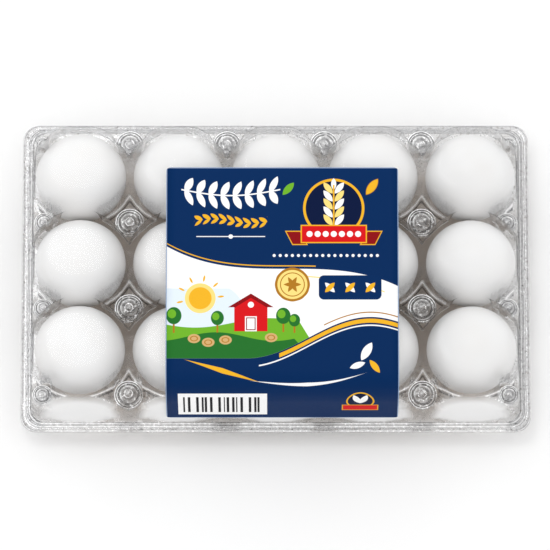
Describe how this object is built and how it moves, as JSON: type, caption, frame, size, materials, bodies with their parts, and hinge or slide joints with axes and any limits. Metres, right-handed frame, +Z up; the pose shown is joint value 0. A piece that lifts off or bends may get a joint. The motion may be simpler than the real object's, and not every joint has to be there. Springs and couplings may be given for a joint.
{
  "type": "clear egg carton with eggs",
  "caption": "Shut clear formed carton with white eggs in rows, a hinged lid with a dome over each egg, and a printed label.",
  "frame": {"origin": "middle of the carton's outline, at the level of the surface it rests on", "axes": "+X along the longer rows of eggs, -Y to the front where the label folds down, +Z up"},
  "size_m": [0.2548, 0.1588, 0.0626],
  "materials": {
    "clear_sheet": "clear, glossy",
    "shell": "matt white",
    "label": "coated print"
  },
  "bodies": {
    "tray": {"tray": "clear_sheet", "egg_1_1": "shell", "egg_1_2": "shell", "egg_1_3": "shell", "egg_1_4": "shell", "egg_1_5": "shell", "egg_2_1": "shell", "egg_2_2": "shell", "egg_2_3": "shell", "egg_2_4": "shell", "egg_2_5": "shell", "egg_3_1": "shell", "egg_3_2": "shell", "egg_3_3": "shell", "egg_3_4": "shell", "egg_3_5": "shell"},
    "lid": {"lid": "clear_sheet", "label": "label"}
  },
  "joints": [
    {"name": "lid_hinge", "type": "hinge", "parent": "tray", "child": "lid", "pos_m": [0, 0.07945, 0.01515], "axis": [-1, 0, 0], "range_deg": [0, 115]}
  ]
}
